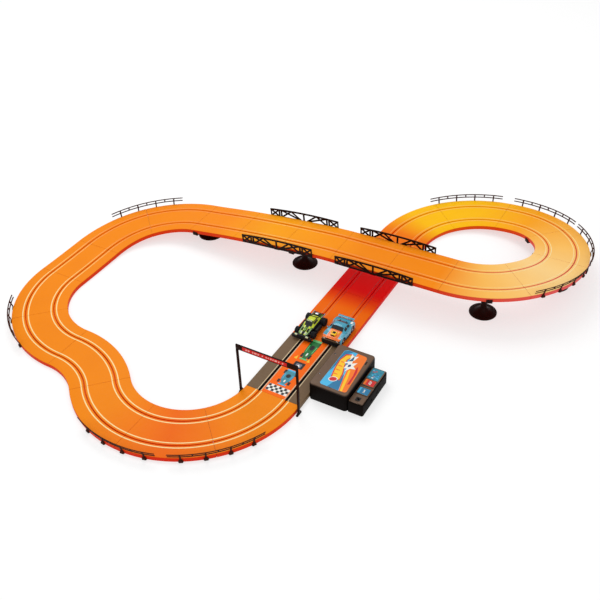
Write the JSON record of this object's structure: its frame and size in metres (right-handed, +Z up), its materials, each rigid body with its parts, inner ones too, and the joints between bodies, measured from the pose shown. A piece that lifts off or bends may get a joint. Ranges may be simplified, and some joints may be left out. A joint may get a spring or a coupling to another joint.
{
  "type": "slot car track set",
  "caption": "Slot car track set: a looped circuit that crosses over itself on piers, with guardrails, bridge trusses, start gantry, battery box and cars.",
  "frame": {"origin": "on the floor, under the middle of the set's footprint", "axes": "+Z up; +Y along the start straight, from the gantry towards the bridge; +X towards the battery box"},
  "size_m": [1.5232, 1.4952, 0.165],
  "materials": {
    "track_plastic": "satin orange moulded plastic",
    "start_plastic": "grey-brown moulded plastic with a printed orange panel",
    "trim_plastic": "black-brown moulded plastic",
    "box_plastic": "fine-grained grey-brown moulded plastic",
    "circuit_board": "green lacquered laminate",
    "coupe_paint": "gloss teal-blue with orange nose",
    "buggy_paint": "gloss yellow-green",
    "chassis_plastic": "black moulded plastic",
    "motor_steel": "plated steel",
    "tyre_rubber": "soft black rubber",
    "rail_steel": "bright plated strip",
    "printed_label": "printed gloss label",
    "hub_plastic": "vacuum-plated plastic",
    "window_plastic": "smoked clear plastic"
  },
  "bodies": {
    "track_set": {"battery_housing": "box_plastic", "control_board": "circuit_board", "curve_left_1": "track_plastic", "curve_left_2": "track_plastic", "curve_left_3": "track_plastic", "curve_left_4": "track_plastic", "curve_left_5": "track_plastic", "curve_left_6": "track_plastic", "curve_left_7": "track_plastic", "curve_right_1": "track_plastic", "curve_right_2": "track_plastic", "curve_right_3": "track_plastic", "curve_right_4": "track_plastic", "curve_right_5": "track_plastic", "curve_right_6": "track_plastic", "curve_right_7": "track_plastic", "gantry_beam": "trim_plastic", "gantry_post_left": "trim_plastic", "gantry_post_right": "trim_plastic", "guardrail_1": "trim_plastic", "guardrail_2": "trim_plastic", "guardrail_3": "trim_plastic", "guardrail_4": "trim_plastic", "guardrail_5": "trim_plastic", "guardrail_6": "trim_plastic", "guardrail_7": "trim_plastic", "guardrail_8": "trim_plastic", "pier_1": "trim_plastic", "pier_2": "trim_plastic", "pier_3": "trim_plastic", "pier_4": "trim_plastic", "pier_5": "trim_plastic", "socket_block": "box_plastic", "start_straight": "start_plastic", "straight_1": "track_plastic", "straight_2": "track_plastic", "straight_3": "track_plastic", "straight_4": "track_plastic", "straight_5": "track_plastic", "straight_6": "track_plastic", "straight_7": "track_plastic", "straight_8": "track_plastic", "straight_9": "track_plastic", "truss_far_1": "trim_plastic", "truss_far_2": "trim_plastic", "truss_near_1": "trim_plastic", "truss_near_2": "trim_plastic"},
    "battery_cover": {"battery_cover": "box_plastic"},
    "coupe": {"coupe_body": "coupe_paint", "coupe_chassis": "chassis_plastic", "coupe_motor": "motor_steel"},
    "coupe_front_axle": {"coupe_front_wheels": "tyre_rubber"},
    "coupe_rear_axle": {"coupe_rear_wheels": "tyre_rubber"},
    "coupe_pickup": {"coupe_guide": "chassis_plastic"},
    "buggy": {"buggy_body": "buggy_paint", "buggy_chassis": "chassis_plastic", "buggy_motor": "motor_steel"},
    "buggy_front_axle": {"buggy_front_wheels": "tyre_rubber"},
    "buggy_rear_axle": {"buggy_rear_wheels": "tyre_rubber"},
    "buggy_pickup": {"buggy_guide": "chassis_plastic"}
  },
  "joints": [
    {"name": "cover_lift", "type": "slide", "parent": "track_set", "child": "battery_cover", "axis": [0, 0, 1], "range_m": [0, 0.05]},
    {"name": "coupe_drive", "type": "slide", "parent": "track_set", "child": "coupe", "axis": [0, -1, 0], "range_m": [-0.46, 0.225]},
    {"name": "coupe_front_roll", "type": "hinge", "parent": "coupe", "child": "coupe_front_axle", "pos_m": [0.213, -0.1443, 0.0233], "axis": [1, 0, 0], "continuous": true},
    {"name": "coupe_rear_roll", "type": "hinge", "parent": "coupe", "child": "coupe_rear_axle", "pos_m": [0.213, -0.0893, 0.0241], "axis": [1, 0, 0], "continuous": true},
    {"name": "coupe_guide_swivel", "type": "hinge", "parent": "coupe", "child": "coupe_pickup", "pos_m": [0.213, -0.1553, 0.013], "axis": [0, 0, 1], "range_deg": [-12, 12]},
    {"name": "buggy_drive", "type": "slide", "parent": "track_set", "child": "buggy", "axis": [0, -1, 0], "range_m": [-0.47, 0.22]},
    {"name": "buggy_front_roll", "type": "hinge", "parent": "buggy", "child": "buggy_front_axle", "pos_m": [0.132, -0.16181, 0.0238], "axis": [1, 0, 0], "continuous": true},
    {"name": "buggy_rear_roll", "type": "hinge", "parent": "buggy", "child": "buggy_rear_axle", "pos_m": [0.132, -0.09881, 0.0253], "axis": [1, 0, 0], "continuous": true},
    {"name": "buggy_guide_swivel", "type": "hinge", "parent": "buggy", "child": "buggy_pickup", "pos_m": [0.132, -0.1758, 0.013], "axis": [0, 0, 1], "range_deg": [-12, 12]}
  ],
  "couplings": [
    {"joint": "coupe_front_roll", "follows": "coupe_drive", "rad_per_m": 100},
    {"joint": "coupe_rear_roll", "follows": "coupe_drive", "rad_per_m": 92.593},
    {"joint": "buggy_front_roll", "follows": "buggy_drive", "rad_per_m": 95.238},
    {"joint": "buggy_rear_roll", "follows": "buggy_drive", "rad_per_m": 83.333}
  ]
}
